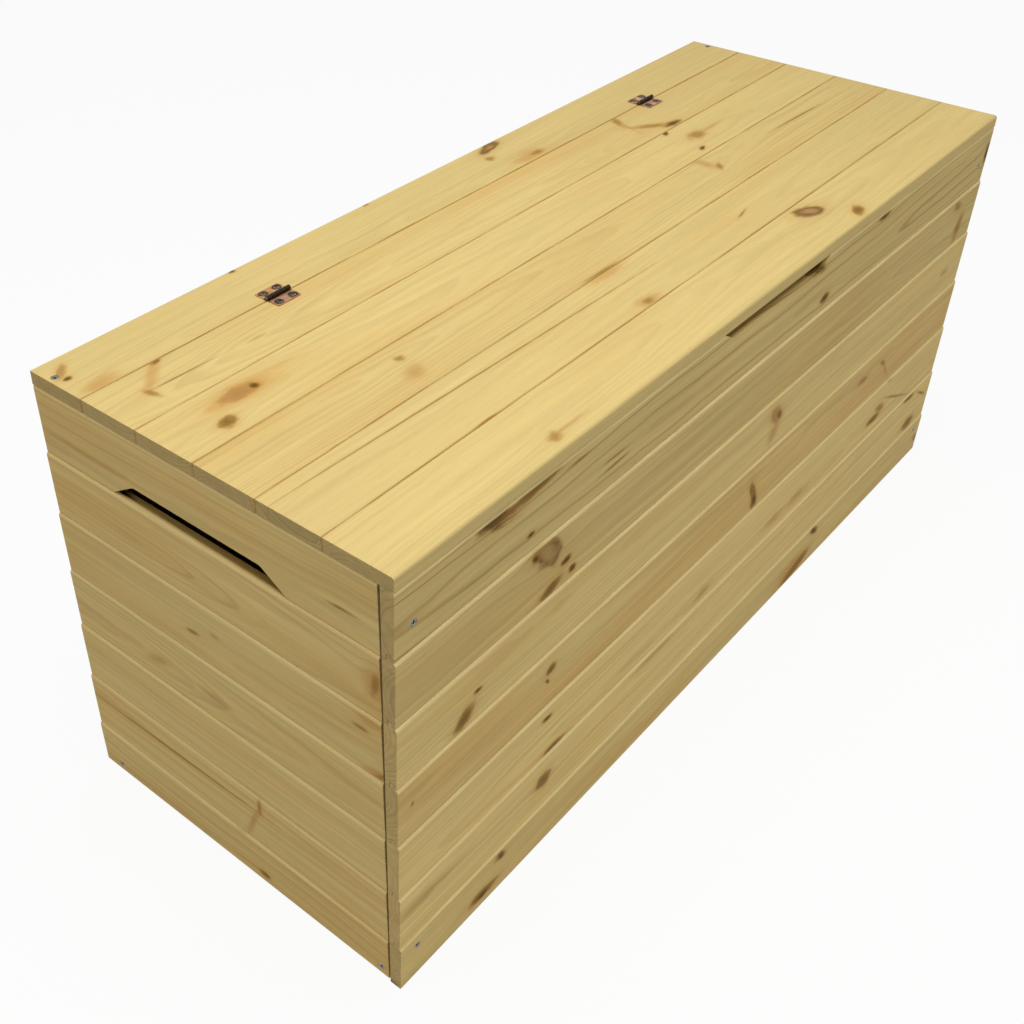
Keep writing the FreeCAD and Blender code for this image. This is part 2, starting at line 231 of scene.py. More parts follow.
# Paint of a mark by distance: a wide warm halo, a heart that changes from core to edge, and a broken rim.
def buildMarkPaint():
    tree, given, result = newGroup(
        "markPaint",
        {"Colour": "Color", "Distance": "Float", "Fibre": "Float", "Core": "Color", "Edge": "Color",
         "Strength": "Float", "Rim": "Float", "Halo": "Float", "Soft": "Float", "Ragged": "Float"},
        {"Colour": "Color"})
    fray = calc(tree, "SUBTRACT", given["Fibre"], 0.5)
    ragged = calc(tree, "MULTIPLY_ADD", fray, given["Ragged"], given["Distance"])

    def bell(centre, width):
        away = calc(tree, "DIVIDE", calc(tree, "SUBTRACT", ragged, centre), width)
        return calc(tree, "EXPONENT", calc(tree, "MULTIPLY", calc(tree, "MULTIPLY", away, away), -1.0))

    glow = calc(tree, "MULTIPLY", bell(*markForm["halo"]), given["Halo"])
    colour = blendColour(tree, glow, given["Colour"], pine["halo"])
    heart = blendColour(tree, remap(tree, ragged, *markForm["heart"]), given["Core"], given["Edge"])
    outer, inner = calc(tree, "ADD", 1.0, given["Soft"]), calc(tree, "SUBTRACT", 1.0, given["Soft"])
    inside = calc(tree, "MULTIPLY", given["Strength"], remap(tree, ragged, outer, inner))
    colour = blendColour(tree, inside, colour, heart)
    broken = remap(tree, given["Fibre"], *markForm["rimBreaks"])
    rim = calc(tree, "MULTIPLY", calc(tree, "MULTIPLY", bell(*markForm["rim"]), given["Rim"]), broken)
    feed(tree, result["Colour"], blendColour(tree, rim, colour, pine["rim"]))
    return tree


# Sizes of the pine pattern. A noise has its steps per millimetre along and across the grain and its detail,
# and a wander also how many millimetres it moves the rings. Shares run from none to all of an effect.
grainForm = {
    "slowWander": (0.0022, 0.006, 1, 20), "quickWander": (0.011, 0.020, 2, 5), "unevenStep": 0.06,
    "unevenRings": 3.0, "lineEnd": 0.88, "faintestRing": 0.25, "fibre": (0.020, 0.90, 3),
    "streak": (0.0045, 0.12, 2), "pore": (0.045, 1.50, 1), "patch": (0.0032, 0.022, 1),
    "fray": (0.070, 0.40, 4), "poreShare": (0.64, 0.74), "warmShare": (0.35, 0.92), "fibreLight": 0.18,
    "poreLight": -0.10, "lateHeight": 0.6,
}


# Growth rings are circles round a pith line that wanders along the board: phase = distance / ring width.
# Each ring darkens slowly towards its late wood and ends sharply. Fibres and pores lie along the grain.
def buildPineGrain():
    tree, given, result = newGroup(
        "pineGrain",
        {"Point": "Vector", "Pith": "Vector", "Tilt": "Float", "RingWidth": "Float", "LineStart": "Float",
         "Contrast": "Float", "Warmth": "Float", "Shade": "Float", "Streaks": "Float", "Seed": "Vector",
         "EndGrain": "Float"},
        {"Colour": "Color", "Height": "Float", "Late": "Float", "Fibre": "Float"})
    point = given["Point"]

    def grainNoise(alongScale, acrossScale, detail, colour=False):
        place = calcVector(tree, "MULTIPLY_ADD", point, (alongScale, acrossScale, acrossScale), given["Seed"])
        return noise(tree, place, detail, colour)

    def wander(alongScale, acrossScale, detail, amount):
        drift = grainNoise(alongScale, acrossScale, detail, True)
        centred = calcVector(tree, "SUBTRACT", drift, (0.5, 0.5, 0.5))
        return calcVector(tree, "MULTIPLY", centred, (0, amount, amount))

    wandered = calcVector(tree, "ADD", point, wander(*grainForm["slowWander"]))
    wandered = calcVector(tree, "ADD", wandered, wander(*grainForm["quickWander"]))
    place = addNode(tree, "ShaderNodeSeparateXYZ", {0: point}).outputs["X"]
    lean = calc(tree, "MULTIPLY", place, given["Tilt"])
    leaned = addNode(tree, "ShaderNodeCombineXYZ", {"Z": lean}).outputs[0]
    fromPith = calcVector(tree, "ADD", calcVector(tree, "SUBTRACT", wandered, given["Pith"]), leaned)
    radius = calcVector(tree, "LENGTH", calcVector(tree, "MULTIPLY", fromPith, (0, 1, 1)))
    step = calc(tree, "MULTIPLY", radius, grainForm["unevenStep"])
    reach = addNode(tree, "ShaderNodeCombineXYZ", {"X": step}).outputs[0]
    uneven = calc(tree, "MULTIPLY", noise(tree, reach, 1), grainForm["unevenRings"])
    phase = calc(tree, "ADD", calc(tree, "DIVIDE", radius, given["RingWidth"]), uneven)
    turn = calc(tree, "FRACT", phase)
    ringWeight = addNode(tree, "ShaderNodeTexWhiteNoise", {"W": calc(tree, "FLOOR", phase)},
                         noise_dimensions="1D").outputs["Value"]
    rise = remap(tree, turn, given["LineStart"], grainForm["lineEnd"])
    band = calc(tree, "MULTIPLY", rise, remap(tree, turn, grainForm["lineEnd"], 1.0, 1.0, 0.0))
    faintest = grainForm["faintestRing"]
    late = calc(tree, "MULTIPLY", band, calc(tree, "MULTIPLY_ADD", ringWeight, 1 - faintest, faintest))
    fibre = calc(tree, "SUBTRACT", grainNoise(*grainForm["fibre"]), 0.5)
    streak = calc(tree, "SUBTRACT", grainNoise(*grainForm["streak"]), 0.5)
    pore = remap(tree, grainNoise(*grainForm["pore"]), *grainForm["poreShare"])
    patch = calc(tree, "ADD", grainNoise(*grainForm["patch"]), given["Warmth"])
    early = blendColour(tree, remap(tree, patch, *grainForm["warmShare"]), pine["early"], pine["earlyWarm"])
    face = blendColour(tree, calc(tree, "MULTIPLY", late, given["Contrast"]), early, pine["late"])
    cutEnd = blendColour(tree, late, pine["endEarly"], pine["endLate"])
    mixed = blendColour(tree, given["EndGrain"], face, cutEnd)
    light = calc(tree, "MULTIPLY_ADD", fibre, grainForm["fibreLight"], given["Shade"])
    light = calc(tree, "MULTIPLY_ADD", streak, given["Streaks"], light)
    light = calc(tree, "MULTIPLY_ADD", pore, grainForm["poreLight"], light)
    feed(tree, result["Colour"], scaleVector(tree, mixed, light))
    lowered = calc(tree, "MULTIPLY", late, grainForm["lateHeight"])
    feed(tree, result["Height"], calc(tree, "SUBTRACT", fibre, lowered))
    feed(tree, result["Late"], late)
    feed(tree, result["Fibre"], grainNoise(*grainForm["fray"]))
    return tree


markBend, markPaint, pineGrain = buildMarkBend(), buildMarkPaint(), buildPineGrain()


# Wear of the boards, with a painted highlight near upper edges and painted shade in recesses. A pair is where
# an
# effect starts and where it is full: by how far a surface looks along the grain, by millimetres from an edge,
# a face or a seam, by a noise, or by how open a spot is.
wearAndPaintedLight = {
    "endGrain": (0.55, 0.90), "stainAndHighlightStep": (0.02, 0.30, 0.30),
    "highlightEdge": (4.6, 2.4), "highlightFace": (4.0, 3.2), "highlightPatches": (0.30, 0.70), "highlightLeast": 0.6,
    "seamLine": (2.0, 0.3), "seamPatches": (0.30, 0.65), "seamShare": (0.15, 0.75),
    "recessShadeReach": 15 * mm, "recessShadeSamples": 8, "creviceShade": (0.80, 0.35), "recessShadeDepth": (3.5, 8.5),
}


# One pine material for a board: its place and axes turn object coordinates into board millimetres.
# Along each seam, given by its place across the board, lies a thin line of resin and dust. Near the upper
# edge of a wall board, on its outer side only, a painted highlight lightens the wood, and deep in its cuts
# painted shade darkens it.
def pineMaterial(name, centre, axes, marks, grain, seams=(), paintedLightPlace=None):
    material = bpy.data.materials.new(name + "Pine")
    material.use_nodes = True
    tree = material.node_tree
    shader = tree.nodes["Principled BSDF"]
    turn = Matrix([list(axis) for axis in axes])
    coordinates = addNode(tree, "ShaderNodeTexCoord")
    point = addNode(tree, "ShaderNodeMapping", {
        "Vector": coordinates.outputs["Object"], "Location": -perMetre * (turn @ Vector(centre)),
        "Rotation": turn.to_euler(), "Scale": (perMetre, perMetre, perMetre)}).outputs[0]
    bent, distances = point, []
    for kind, along, across, halfLength, halfWidth, angle in marks:
        bend = useGroup(tree, markBend, {
            "Point": point, "Bent": bent, "Centre": (along, across, 0), "Half": (halfLength, halfWidth, 1),
            "Turn": math.radians(angle), "Bend": markKinds[kind]["bend"]})
        bent = bend["Bent"]
        distances.append(bend["Distance"])
    facing = calcVector(tree, "DOT_PRODUCT", coordinates.outputs["Normal"], tuple(axes[0]))
    endGrain = remap(tree, calc(tree, "ABSOLUTE", facing), *wearAndPaintedLight["endGrain"])
    wood = useGroup(tree, pineGrain, {
        "Point": bent, "Pith": (0, grain["pithAcross"], grain["pithDepth"]), "Tilt": grain["tilt"],
        "RingWidth": grain["ringWidth"], "LineStart": grain["lineStart"], "Contrast": grain["contrast"],
        "Warmth": grain["warmth"], "Shade": grain["shade"], "Streaks": grain["streaks"],
        "Seed": grain["seed"], "EndGrain": endGrain})
    colour = wood["Colour"]
    for (kind, *_), distance in zip(marks, distances):
        look = markKinds[kind]
        colour = useGroup(tree, markPaint, {
            "Colour": colour, "Distance": distance, "Fibre": wood["Fibre"], "Core": look["core"],
            "Edge": look["edge"], "Strength": look["strength"], "Rim": look["rim"], "Halo": look["halo"],
            "Soft": look["soft"], "Ragged": look["ragged"]})["Colour"]
    ownPlace = addNode(tree, "ShaderNodeSeparateXYZ", {0: point}).outputs
    stainAndHighlightNoise = noise(tree, calcVector(tree, "MULTIPLY_ADD", point, wearAndPaintedLight["stainAndHighlightStep"], grain["seed"]), 2)
    for place in seams:
        away = calc(tree, "ABSOLUTE", calc(tree, "SUBTRACT", ownPlace["Y"], place))
        patchy = remap(tree, stainAndHighlightNoise, *wearAndPaintedLight["seamPatches"], *wearAndPaintedLight["seamShare"])
        line = calc(tree, "MULTIPLY", remap(tree, away, *wearAndPaintedLight["seamLine"]), patchy)
        colour = blendColour(tree, line, colour, pine["seam"])
    if paintedLightPlace:
        depth = calc(tree, "SUBTRACT", paintedLightPlace["face"], ownPlace["Z"])
        # Painted highlight: a lighter band along the rounded upper edge on the outer face, where light would
        # catch the round.
        nearEdge = remap(tree, calc(tree, "SUBTRACT", paintedLightPlace["edge"], ownPlace["Y"]), *wearAndPaintedLight["highlightEdge"])
        nearFace = remap(tree, depth, *wearAndPaintedLight["highlightFace"])
        onFace = calc(tree, "MULTIPLY", nearFace, calc(tree, "SUBTRACT", 1.0, endGrain))
        strength = paintedLightPlace["strength"]
        patchy = remap(tree, stainAndHighlightNoise, *wearAndPaintedLight["highlightPatches"], strength, wearAndPaintedLight["highlightLeast"] * strength)
        paintedHighlight = calc(tree, "MULTIPLY", calc(tree, "MULTIPLY", nearEdge, onFace), patchy)
        colour = blendColour(tree, paintedHighlight, colour, pine["paintedHighlight"])
        # Painted shade: an ambient occlusion node darkens the wood deep in cuts and recesses, such as the
        # floor of the finger notch.
        hollow = addNode(tree, "ShaderNodeAmbientOcclusion", {"Distance": wearAndPaintedLight["recessShadeReach"]},
                         samples=wearAndPaintedLight["recessShadeSamples"]).outputs["AO"]
        occlusionShade = remap(tree, hollow, *wearAndPaintedLight["creviceShade"])
        inside = calc(tree, "MULTIPLY", occlusionShade, remap(tree, depth, *wearAndPaintedLight["recessShadeDepth"]))
        colour = blendColour(tree, inside, colour, pine["recessShade"])
    feed(tree, shader.inputs["Base Color"], colour)
    shader.inputs["Specular IOR Level"].default_value = pine["specular"]
    lateRough, earlyRough = pine["roughness"]
    feed(tree, shader.inputs["Roughness"], remap(tree, wood["Late"], 0.0, 1.0, earlyRough, lateRough))
    bump = addNode(tree, "ShaderNodeBump", {
        "Height": wood["Height"], "Strength": pine["bumpStrength"], "Distance": pine["bumpDistance"]})
    feed(tree, shader.inputs["Normal"], bump.outputs[0])
    return material


# Knots and marks of the three faces that the picture shows, in millimetres on the face seen from outside:
# kind, place to the right, place up (on the top: to the rear), half length, half width, turn in degrees.
faceMarks = {
    "top": [
        ("pink", -534, 188, 10, 4, 45), ("dark", -537, 174, 4, 3, 0), ("orange", -522, 147, 16, 8, 10),
        ("dark", -314, 208, 4, 3, 0), ("brown", -120, 208, 4, 2, 10), ("ring", 83, 201, 19, 7, 14),
        ("brown", 59, 181, 6, 5, 0), ("orange", 95, 152, 23, 9, 0), ("brown", 108, 151, 9, 4, 0),
        ("dark", -471, 137, 6, 2.5, 10), ("orange", -488, 122, 24, 5, 43), ("brown", -505, 101, 9, 3, 105),
        ("streak", -470, 104, 30, 1.2, -2), ("pale", -385, 99, 9, 2, 0), ("brown", 241, 130, 13, 5, 62),
        ("pale", 236, 110, 12, 2, 80), ("brown", 258, 92, 25, 5, -35), ("dark", 281, 77, 13, 5, -4),
        ("orange", -450, 45, 34, 8, 0), ("pink", -457, 46, 19, 9, 0), ("dark", -441, 44, 4, 4, 0),
        ("knot", -493, 21, 9, 7, 20), ("brown", 269, 37, 14, 8, 0), ("pale", 300, 37, 20, 2, 0),
        ("dark", 239, 12, 6, 3, 15), ("dark", 248, 67, 6, 3, 30), ("brown", -329, -22, 5, 4, 0),
        ("pale", -337, -46, 11, 7, 30), ("pale", 202, -11, 6, 14, 0), ("brown", 207, -29, 8, 3.5, 40),
        ("streak", 392, -27, 52, 1.6, -2.5), ("streak", -85, -68, 26, 2.5, 0), ("pale", -103, -133, 15, 7, 0),
        ("brown", -103, -133, 6, 4, 0), ("streak", 117, -108, 11, 1.5, 12), ("orange", -85, -74, 26, 5, 0),
        ("streak", -355, -139, 14, 1.2, 0), ("streak", -300, -91, 240, 1.0, -1.6),
        ("brown", -338, -195, 7, 5, 10), ("pale", -318, -194, 22, 1.5, 0), ("ring", 166, -159, 19, 10, -18),
        ("knot", 202, -197, 11, 6, 25),
    ],
    "front": [
        ("smear", -434, 474, 26, 9, -16), ("knot", -378, 475, 34, 6, 8), ("streak", -322, 468, 14, 1.5, 0),
        ("dark", -384, 428, 5, 2.5, 0), ("streak", -262, 431, 20, 1.6, 4), ("streak", -262, 440, 18, 1.2, 0),
        ("dark", 127, 425, 9, 5, 0), ("dark", 247, 473, 13, 3, 0), ("smear", 94, 472, 17, 6, -14),
        ("dark", 545, 447, 5, 12, 0), ("faded", -359, 394, 25, 13, -40), ("dark", -376, 398, 5, 4, -45),
        ("orange", -368, 406, 16, 4, 0), ("dark", -329, 366, 7, 4, 0), ("dark", -318, 350, 5, 4, 0),
        ("knot", -350, 347, 15, 6, 14), ("brown", 485, 397, 11, 6, -20), ("brown", 505, 362, 9, 16, -15),
        ("dark", -448, 303, 5, 2.5, 0), ("knot", -465, 283, 14, 8, 38), ("pink", 56, 315, 15, 8, -45),
        ("knot", 63, 312, 6, 4, -50), ("pale", 56, 290, 10, 8, 60), ("pale", 496, 303, 9, 4, 0),
        ("knot", -341, 246, 7, 5, 20), ("knot", -345, 233, 4, 2, -45), ("brown", -532, 239, 2, 3, 0),
        ("knot", 30, 228, 16, 5, -65), ("dark", 37, 212, 11, 6, -75), ("pink", 290, 242, 12, 4, -5),
        ("brown", 346, 240, 9, 3, -32), ("pale", 360, 224, 16, 2, -52), ("dark", 379, 199, 11, 2.5, -18),
        ("dark", -342, 183, 7, 3, 0), ("knot", -327, 133, 15, 4, 0), ("knot", 357, 151, 17, 5, 0),
        ("brown", 372, 161, 12, 6, -20), ("pale", 100, 148, 16, 5, 0), ("pale", 156, 149, 19, 6, 0),
        ("streak", 420, 154, 40, 1.8, -24), ("pale", -55, 142, 14, 5, 8), ("knot", -341, 97, 11, 9, 0),
        ("pale", -520, 102, 34, 5, 0), ("knot", 475, 123, 16, 4, -6), ("knot", 497, 71, 16, 8, 0),
        ("pale", -150, 122, 36, 4, 0), ("brown", 522, 108, 18, 2, -30), ("dark", -406, 48, 7, 5, -24),
        ("knot", -430, 17, 20, 6, 0), ("dark", -433, 15, 10, 4, 0), ("dark", 232, 49, 11, 5, -30),
        ("knot", 195, 14, 32, 8, 12), ("brown", 543, 23, 8, 5, -30), ("orange", 180, 22, 30, 10, 10),
    ],
    "left": [
        ("streak", 155, 432, 13, 1.6, 2), ("pale", -140, 432, 55, 3, 0), ("orange", 190, 374, 12, 18, 0),
        ("brown", 188, 374, 4, 12, -12), ("brown", 171, 316, 8, 2.5, 0), ("orange", 184, 329, 16, 5, 0),
        ("brown", -30, 295, 8, 2.5, 8), ("orange", 186, 272, 14, 5, 14), ("brown", 192, 272, 8, 3, 30),
        ("pale", 0, 308, 5, 2, 0), ("pale", -12, 225, 18, 3, -4), ("pale", -88, 224, 15, 5, 20),
        ("streak", -80, 101, 124, 1.8, 1.4), ("brown", 36, 114, 11, 2.5, 88), ("pale", 24, 84, 25, 3, 68),
        ("pale", 5, 56, 7, 3, 0), ("knot", 33, 12, 7, 4, 0), ("pale", 12, 12, 22, 2, 4),
    ],
}
shownFaces = {"front_board": "front", "left_board": "left", "lid_board": "top", "hinge_rail": "top"}

# Growth rings of any board, and of boards with a figure or a shade of their own.
grainRange = {
    "pithAcross": 28, "pithDepth": (18, 60), "tilt": 0.03, "ringWidth": (2.4, 4.6), "lineStart": 0.15,
    "contrast": (0.16, 0.32), "warmth": (-0.15, 0.25), "streaks": 0.22, "shade": (0.96, 1.03), "seed": 40,
    "wallContrast": 1.3, "wallStreaks": 0.40,
}
boardGrain = {
    "front_board_1": {"contrast": 0.95, "ringWidth": 7.0, "lineStart": 0.60, "pithAcross": -6,
                      "pithDepth": 26, "tilt": 0.012, "shade": 0.97, "warmth": -0.15},
    "front_board_2": {"shade": 1.00, "warmth": -0.05}, "front_board_3": {"shade": 1.12, "warmth": -0.10},
    "front_board_4": {"shade": 1.06, "warmth": 0.20}, "front_board_5": {"shade": 1.15, "warmth": -0.05},
    "front_board_6": {"shade": 1.14, "warmth": -0.10}, "front_board_7": {"shade": 1.05, "warmth": 0.00},
    "hinge_rail": {"shade": 0.97, "warmth": -0.20}, "lid_board_5": {"shade": 1.00, "warmth": -0.20},
    "left_board_2": {"contrast": 0.50, "ringWidth": 8.0, "lineStart": 0.55, "pithAcross": -8,
                     "pithDepth": 22, "tilt": -0.09},
}

# Knots of boards that the picture hides. Reach is a share of the board's length and width.
hiddenMarks = {
    "kinds": ["knot", "dark", "pink", "pale", "streak", "ring"], "count": (1, 5), "size": (4, 11),
    "stretch": (1.1, 1.7), "streakStretch": 6.0, "streakSqueeze": 4.0, "reach": (0.46, 0.42), "turn": 25,
}
grainSeeds = {"boards": 4100, "nextRow": 10, "rail": 4160, "innerWood": 4200}


# Marks of a board: those of its face that lie on it, or a few knots of its own where the picture hides it.
def boardMarks(name, random, place, length, width):
    face = shownFaces.get("_".join(name.split("_")[:2]))
    if face:
        right, up = place
        return [(kind, x - right, y - up, *shape) for kind, x, y, *shape in faceMarks[face]
                if abs(y - up) <= width / 2]
    marks = []
    alongReach, acrossReach = hiddenMarks["reach"]
    for kind in random.choice(hiddenMarks["kinds"], random.integers(*hiddenMarks["count"])):
        size = random.uniform(*hiddenMarks["size"])
        stretch, squeeze = hiddenMarks["streakStretch"], hiddenMarks["streakSqueeze"]
        if kind != "streak":
            stretch, squeeze = random.uniform(*hiddenMarks["stretch"]), 1.0
        along = random.uniform(-alongReach, alongReach) * length
        across = random.uniform(-acrossReach, acrossReach) * width
        turn = random.uniform(-hiddenMarks["turn"], hiddenMarks["turn"])
        marks.append((str(kind), along, across, size * stretch, size / squeeze, turn))
    return marks


# Marks and growth rings of a board whose middle lies at this place on its face.
def boardLook(name, seed, place, length, width):
    random = np.random.default_rng(seed)
    marks = boardMarks(name, random, place, length, width)
    given = grainRange
    grain = {
        "pithAcross": random.uniform(-given["pithAcross"], given["pithAcross"]),
        "pithDepth": random.choice([-1, 1]) * random.uniform(*given["pithDepth"]),
        "tilt": random.uniform(-given["tilt"], given["tilt"]),
        "ringWidth": random.uniform(*given["ringWidth"]), "lineStart": given["lineStart"],
        "contrast": random.uniform(*given["contrast"]), "warmth": random.uniform(*given["warmth"]),
        "streaks": given["streaks"], "shade": random.uniform(*given["shade"]),
        "seed": tuple(random.uniform(-given["seed"], given["seed"], 3))}
    if name.startswith(("front", "rear", "left", "right")):
        grain.update(contrast=given["wallContrast"] * grain["contrast"], streaks=given["wallStreaks"])
    grain.update(boardGrain.get(name, {}))
    return marks, grain


# Loop of a profile from (across, out, radius) corners. A rounded corner turns from its first tangent point
# to its second: point = centre + (sin((1 - t) a) first + sin(t a) second) / sin(a), with t from 0 to 1.
def roundedLoop(corners, steps):
    spots = np.array([corner[:2] for corner in corners], float)
    radius = np.array([corner[2] for corner in corners], float)[:, None]
    back = np.roll(spots, 1, 0) - spots
    forth = np.roll(spots, -1, 0) - spots
    back /= np.linalg.norm(back, axis=1, keepdims=True)
    forth /= np.linalg.norm(forth, axis=1, keepdims=True)
    half = np.arccos(np.clip((back * forth).sum(1, keepdims=True), -1, 1)) / 2
    inward = back + forth
    inward /= np.linalg.norm(inward, axis=1, keepdims=True)
    centre = spots + inward * radius / np.sin(half)
    first = spots + back * radius / np.tan(half) - centre
    second = spots + forth * radius / np.tan(half) - centre
    angle = (math.pi - 2 * half)[:, None]
    t = np.linspace(0, 1, steps + 1)[None, :, None]
    sweep = np.sin((1 - t) * angle) * first[:, None] + np.sin(t * angle) * second[:, None]
    arcs = centre[:, None] + sweep / np.sin(angle)
    kept = (radius > 0) | (np.arange(steps + 1) == 0)[None]
    return arcs[kept]


# Two extra points near the ends of each straight stretch that is long beside the margin, so that flat faces
# shade flat.
def flattened(loop, margin, longRatio=5):
    following = np.roll(loop, -1, 0)
    length = np.linalg.norm(following - loop, axis=1, keepdims=True)
    nudge = (following - loop) / length * margin
    points = np.stack([loop, loop + nudge, following - nudge], 1)
    isLong = length[:, 0] > longRatio * margin
    return points[np.stack([np.ones_like(isLong), isLong, isLong], 1)]


# Mesh from rings of points: quads between neighbouring rings, and a face over each end.
def meshFromRings(name, rings):
    ringCount, pointCount = rings.shape[:2]
    number = np.arange(ringCount * pointCount).reshape(ringCount, pointCount)
    nextPoint = np.roll(number, -1, 1)
    quads = np.stack([number[:-1], nextPoint[:-1], nextPoint[1:], number[1:]], -1).reshape(-1, 4)
    mesh = bpy.data.meshes.new(name)
    ends = [number[0, ::-1].tolist(), number[-1].tolist()]
    mesh.from_pydata(rings.reshape(-1, 3).tolist(), [], quads.tolist() + ends)
    piece = bpy.data.objects.new(name, mesh)
    bpy.context.scene.collection.objects.link(piece)
    return piece


# A profile carried along a straight path: point = origin + across * a + out * b + along * station. Near both
# ends the profile draws in along its inward normals on a quarter round: inset = round * (1 - sin(angle)).
def carriedProfile(name, loop, length, origin, across, out, endRound, steps, margin):
    along = np.cross(across, out)
    tangent = np.roll(loop, -1, 0) - np.roll(loop, 1, 0)
    tangent /= np.linalg.norm(tangent, axis=1, keepdims=True)
    inward = np.stack([-tangent[:, 1], tangent[:, 0]], 1)
    angle = np.linspace(0, math.pi / 2, steps + 1)
    station, inset = endRound * (1 - np.cos(angle)), endRound * (1 - np.sin(angle))
    if endRound > 0:
        station, inset = np.append(station, endRound + margin), np.append(inset, 0.0)
    station = np.concatenate([station, length - station[::-1]])
    inset = np.concatenate([inset, inset[::-1]])
    section = loop[None] + inward[None] * inset[:, None, None]
    rings = origin + section[..., :1] * across + section[..., 1:] * out + station[:, None, None] * along
    return meshFromRings(name, rings)


# A turned shape: point = base + axis * height + radius * (cos(angle) * side + sin(angle) * other).
def turned(name, base, axis, outline, steps=32):
    side = np.roll(axis, 1).astype(float)
    other = np.cross(axis, side)
    angle = np.linspace(0, 2 * math.pi, steps, endpoint=False)[None, :, None]
    radius, height = np.array(outline, float).T[:, :, None, None]
    rings = base + axis * height + radius * (np.cos(angle) * side + np.sin(angle) * other)
    return meshFromRings(name, rings)


# Take one closed shape out of another.
def cutAway(piece, cutter):
    modifier = piece.modifiers.new("cut", "BOOLEAN")
    modifier.operation = "DIFFERENCE"
    modifier.solver = "EXACT"
    modifier.object = cutter
    result = bpy.data.meshes.new_from_object(piece.evaluated_get(bpy.context.evaluated_depsgraph_get()))
    piece.modifiers.clear()
    plain = piece.data
    piece.data = result
    bpy.data.meshes.remove(plain)
    bpy.data.objects.remove(cutter)


# Smooth the rounds, keep edges above the sharp angle, and let the piece stand for its CAD node.
def finishPiece(piece, node, material, sharpAngle=34):
    piece.data.shade_smooth()
    piece.data.set_sharp_from_angle(angle=math.radians(sharpAngle))
    piece.data.materials.clear()
    piece.data.materials.append(material)
    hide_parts(node)
    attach(piece, frame["nodes"][node]["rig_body"])


# Boards. Tongue towards +across, groove on the other edge, face side towards out.
boardStock = {
    "tongueHeight": 5 * mm, "tongueThickness": 4 * mm, "tongueRound": 0.8 * mm, "clearance": 0.25 * mm,
    "seamGap": 0.2 * mm, "wallLap": 1.5 * mm, "wallUpperRound": 3 * mm, "wallLowerRound": 0.8 * mm,
    "topRound": 0.7 * mm, "lidFrontRound": 3 * mm, "innerRound": 0.6 * mm, "endRound": 0.5 * mm,
    "arcSteps": 6, "endSteps": 4, "margin": 0.5 * mm,
}
xAxis, yAxis, zAxis = np.eye(3)
# The last number of a wall is the strength of the painted highlight along its boards' upper edges.
boardRows = {
    "front": {"across": zAxis, "out": -yAxis, "count": 7, "paintedHighlight": 1.0},
    "rear": {"across": zAxis, "out": yAxis, "count": 7, "paintedHighlight": 1.0},
    "left": {"across": zAxis, "out": -xAxis, "count": 7, "paintedHighlight": 0.5},
    "right": {"across": zAxis, "out": xAxis, "count": 7, "paintedHighlight": 0.5},
    "lid": {"across": yAxis, "out": zAxis, "count": 5},
}


# Corners of a board from its inner face round to its groove. With a lap the outer face leans out towards the
# tongue, and the grooved edge is thinner by the lap.
def boardProfile(width, thickness, tongue, groove, upperRound, lowerRound, lap):
    stock = boardStock
    middle, tongueHalf = thickness / 2, stock["tongueThickness"] / 2
    grooveHalf = tongueHalf + stock["clearance"]
    grooveDepth = stock["tongueHeight"] + stock["clearance"] - stock["seamGap"]
    tip = width + stock["tongueHeight"]
    corners = [(0, 0, stock["innerRound"]), (width, 0, stock["innerRound"])]
    if tongue:
        corners += [(width, middle - tongueHalf, 0), (tip, middle - tongueHalf, stock["tongueRound"]),
                    (tip, middle + tongueHalf, stock["tongueRound"]), (width, middle + tongueHalf, 0)]
    corners += [(width, thickness, upperRound), (0, thickness - lap, lowerRound)]
    if groove:
        corners += [(0, middle + grooveHalf, 0), (grooveDepth, middle + grooveHalf, 0),
                    (grooveDepth, middle - grooveHalf, 0), (0, middle - grooveHalf, 0)]
    return flattened(roundedLoop(corners, stock["arcSteps"]), stock["margin"])


# Lowest corner and size of a node's box, seen along the board's own axes.
def placeOf(node, axes):
    low, high = (np.array(corner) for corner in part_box(node))
    ends = np.array([[axis @ low, axis @ high] for axis in axes])
    return ends.min(1) @ np.array(axes), ends.max(1) - ends.min(1)


# One board in the place of its CAD node: its profile carried along, with a material of its own.
def makeBoard(node, seed, row, tongue, groove, upperRound, lowerRound, lap=0, seams=()):
    stock = boardStock
    across, out = row["across"], row["out"]
    along = np.cross(across, out)
    corner, (length, width, thickness) = placeOf(node, (along, across, out))
    if tongue:
        width -= stock["tongueHeight"]
    loop = boardProfile(width, thickness, tongue, groove, upperRound, lowerRound, lap)
    boards[node] = carriedProfile(node + "_pine", loop, length, corner, across, out, stock["endRound"],
                                  stock["endSteps"], stock["margin"])
    centre = corner + along * length / 2 + across * width / 2 + out * thickness / 2
    place = (along @ centre / mm, across @ centre / mm)
    marks, grain = boardLook(node, seed, place, length / mm, width / mm)
    paintedLightPlace = None
    # Wall boards carry a painted highlight along the upper edge and painted shade deep in their cuts.
    if lap:
        paintedLightPlace = {"edge": width / 2 / mm, "face": thickness / 2 / mm, "strength": row["paintedHighlight"]}
    boardPine[node] = pineMaterial(node, centre, (along, across, out), marks, grain,
                                   [side * width / 2 / mm for side in seams], paintedLightPlace)


